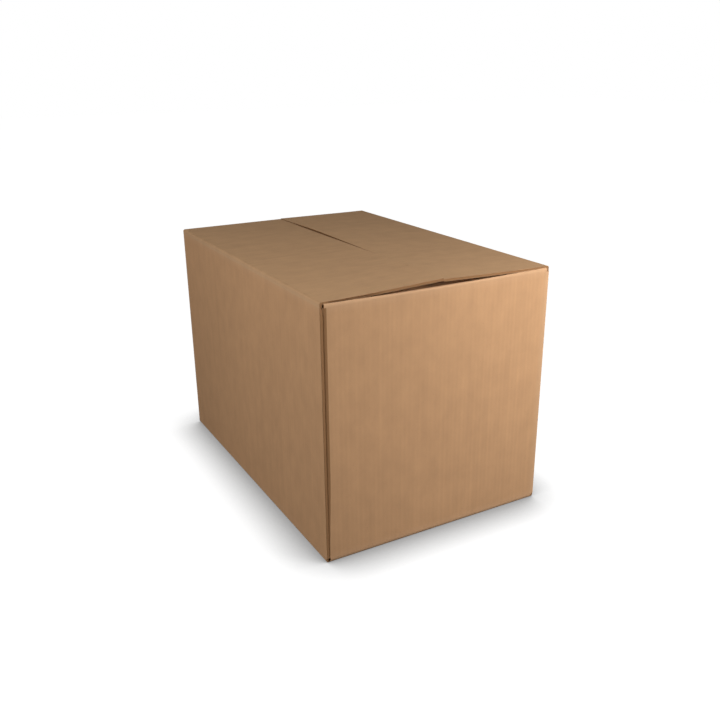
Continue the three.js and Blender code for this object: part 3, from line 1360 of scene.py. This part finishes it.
@dataclass(frozen=True)
class Studio:
    """Pale floor, soft light, white background and the camera.

    Attributes:
        sky: Strength of the even light.
        floor_color: How pale the floor is for light that falls on it.
        floor_seen: How pale its lit surface is to the camera, on top of its glow.
        floor_reach: Half of its side.
        floor_level: Its level, just under the carton.
        painted_shadow_reach: How near the carton the painted shadow dims the floor's glow.
        painted_shadow_open: How open the floor is where the painted shadow's glow is least and full.
        painted_shadow_glow: Least and full glow under the painted shadow.
        painted_shadow_samples: Rays that find how open it is, for the painted shadow.
        lamps: The lights.
        camera_place: Camera's place.
        camera_axes: Its right, up and forward directions.
        lens: Focal length.
        sensor: Width of the sensor.
        clip_end: How far the camera sees.
    """

    sky: float = 0.08
    floor_color: float = 0.22
    floor_seen: float = 0.1
    floor_reach: float = 12.0
    floor_level: float = -0.1 * MM
    painted_shadow_reach: float = 0.09
    painted_shadow_open: Pair = (0.5, 0.97)
    painted_shadow_glow: Pair = (0.3, 1.0)
    painted_shadow_samples: int = 16
    lamps: tuple[Lamp, ...] = (
        Lamp("key", (0.5, -0.95, 0.69), (0.05, -0.304, 0.3), 0.35, 1.26),
        Lamp("fill", (-1.3, -0.34, 0.95), (-0.204, -0.15, 0.25), 0.6, 0.6),
        Lamp("overhead", (-0.1, -0.4, 1.9), (0.0, 0.0, 0.42), 1.0, 0.08),
    )
    camera_place: Triple = (-0.66465, -1.24385, 0.72106)
    camera_axes: tuple[Triple, ...] = (
        (0.87267, -0.48821, -0.00947),
        (0.17747, 0.29903, 0.93759),
        (0.45491, 0.81990, -0.34760),
    )
    lens: float = 40.05
    sensor: float = 36.0
    clip_end: float = 50.0

    def floor(self) -> None:
        """Adds the floor, white to the camera except round the carton: a painted shadow there dims its
        glow, and a faint lit layer keeps the lamps' real shadow.
        """
        mesh = bpy.data.meshes.new("floor")
        signs = ((-1, -1), (1, -1), (1, 1), (-1, 1))
        corners = [(x * self.floor_reach, y * self.floor_reach, self.floor_level) for x, y in signs]
        mesh.from_pydata(corners, [], [(0, 1, 2, 3)])
        tree = MaterialTree.start("pale_floor")
        lit, seen_lit = (
            tree.made("ShaderNodeBsdfDiffuse", {"Color": (pale,) * 3})
            for pale in (self.floor_color, self.floor_seen)
        )
        # Painted shadow: ambient occlusion dims the floor's glow near the carton, whatever the lamps do.
        reach = {"Distance": self.painted_shadow_reach}
        near = tree.made("ShaderNodeAmbientOcclusion", reach, "AO", samples=self.painted_shadow_samples)
        strength = tree.range(near, self.painted_shadow_open, self.painted_shadow_glow)
        glow = tree.made("ShaderNodeEmission", {"Strength": strength})
        seen = tree.made("ShaderNodeAddShader", {0: glow, 1: seen_lit})
        shaders = {0: tree.seen_straight(), 1: lit, 2: seen}
        mesh.materials.append(tree.ended(tree.made("ShaderNodeMixShader", shaders)))
        added("floor", mesh)

    def world(self) -> None:
        """Sets an even dim light with a white background for the camera."""
        world = bpy.data.worlds.new("studio")
        bpy.context.scene.world = world
        world.use_nodes = True
        world.node_tree.nodes.clear()
        tree = NodeTree(world.node_tree)
        strength = tree.math("MULTIPLY_ADD", tree.seen_straight(), 1.0 - self.sky, self.sky)
        light = {"Strength": strength, "Color": (1.0, 1.0, 1.0)}
        background = tree.made("ShaderNodeBackground", light)
        tree.link(background, tree.node("ShaderNodeOutputWorld").inputs[0])

    def camera(self) -> None:
        """Adds the camera at the photograph's viewpoint."""
        camera = bpy.data.cameras.new("camera")
        camera.sensor_width = self.sensor
        camera.lens = self.lens
        camera.clip_end = self.clip_end
        obj = added("camera", camera)
        right, up, forward = (Vector(axis).normalized() for axis in self.camera_axes)
        turn = Matrix((right, up, -forward)).transposed()
        obj.matrix_world = Matrix.Translation(self.camera_place) @ turn.to_4x4()
        bpy.context.scene.camera = obj

    def build(self) -> None:
        """Builds the studio."""
        self.floor()
        self.world()
        self.camera()
        for lamp in self.lamps:
            lamp.build()
        bpy.context.scene.view_settings.view_transform = "Standard"


def main() -> None:
    """Builds the carton and the studio."""
    sizes = CartonSizes()
    finishes = Finishes()
    # The waves take the cut finish, whose dark colours are partly painted shade.
    fluting = Fluting(sizes.board, finishes.cut)
    runs = CartonBody(sizes, finishes).build(fluting)
    for side in Side:
        OuterFlap(sizes, finishes, side).build(runs, fluting)
    Studio().build()


if __name__ == "__main__":
    main()
